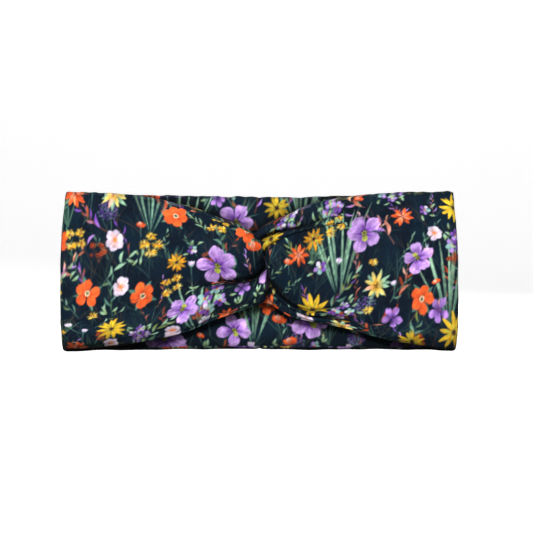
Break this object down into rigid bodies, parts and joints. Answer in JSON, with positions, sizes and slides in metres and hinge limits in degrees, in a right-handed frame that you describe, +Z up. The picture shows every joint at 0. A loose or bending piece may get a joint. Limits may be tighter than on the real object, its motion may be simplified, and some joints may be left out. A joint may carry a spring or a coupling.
{
  "type": "knotted headband",
  "caption": "Wide stretch-knit headband with an interlocked front knot, laid flat as a closed loop that opens into a ring for the head.",
  "frame": {"origin": "centre of the head opening, the flat slit between the front and the back half of the loop", "axes": "+X along the flat loop towards the wearer's left side, +Z up across the cloth's width, the knot faces -Y"},
  "size_m": [0.24, 0.0182, 0.094],
  "materials": {
    "printed_knit": "soft brushed knit with a watercolour floral print",
    "knit_lining": "the same brushed knit on the inside",
    "seam_thread": "dark polyester sewing thread"
  },
  "bodies": {
    "knot": {"right_strip_upper_fold": "printed_knit", "left_strip_lower_fold": "printed_knit", "left_strip_upper_fold": "printed_knit", "right_strip_lower_fold": "printed_knit", "knot_seam_thread": "seam_thread"},
    "left_wing": {"left_wing_outer": "printed_knit", "left_wing_lining": "knit_lining", "left_wing_seam_thread": "seam_thread", "left_side_fold": "printed_knit"},
    "left_back": {"left_back_outer": "printed_knit", "left_back_lining": "knit_lining", "left_back_seam_thread": "seam_thread"},
    "left_back_end": {"left_back_end_outer": "printed_knit", "left_back_end_lining": "knit_lining", "left_back_end_seam_thread": "seam_thread"},
    "right_wing": {"right_wing_outer": "printed_knit", "right_wing_lining": "knit_lining", "right_wing_seam_thread": "seam_thread", "right_side_fold": "printed_knit"},
    "right_back": {"right_back_outer": "printed_knit", "right_back_lining": "knit_lining", "right_back_seam_thread": "seam_thread"},
    "right_back_end": {"right_back_end_outer": "printed_knit", "right_back_end_lining": "knit_lining", "right_back_end_seam_thread": "seam_thread", "centre_back_seam_thread": "seam_thread"}
  },
  "joints": [
    {"name": "right_wing_bend", "type": "hinge", "parent": "knot", "child": "right_wing", "pos_m": [0.02, -0.0025, 0], "axis": [0, 0, 1], "range_deg": [0, 60]},
    {"name": "right_side_fold_open", "type": "hinge", "parent": "right_wing", "child": "right_back", "pos_m": [0.1153, 0, 0], "axis": [0, 0, -1], "range_deg": [0, 120]},
    {"name": "right_back_bend", "type": "hinge", "parent": "right_back", "child": "right_back_end", "pos_m": [0.02, 0.0025, 0], "axis": [0, 0, 1], "range_deg": [0, 60]},
    {"name": "left_wing_bend", "type": "hinge", "parent": "knot", "child": "left_wing", "pos_m": [-0.02, -0.0025, 0], "axis": [0, 0, -1], "range_deg": [0, 60]},
    {"name": "left_side_fold_open", "type": "hinge", "parent": "left_wing", "child": "left_back", "pos_m": [-0.1153, 0, 0], "axis": [0, 0, 1], "range_deg": [0, 120]},
    {"name": "left_back_bend", "type": "hinge", "parent": "left_back", "child": "left_back_end", "pos_m": [-0.02, 0.0025, 0], "axis": [0, 0, -1], "range_deg": [0, 60]}
  ],
  "couplings": [
    {"joint": "right_side_fold_open", "follows": "right_wing_bend", "ratio": 2},
    {"joint": "right_back_bend", "follows": "right_wing_bend", "ratio": 1},
    {"joint": "left_wing_bend", "follows": "right_wing_bend", "ratio": 1},
    {"joint": "left_side_fold_open", "follows": "right_wing_bend", "ratio": 2},
    {"joint": "left_back_bend", "follows": "right_wing_bend", "ratio": 1}
  ]
}
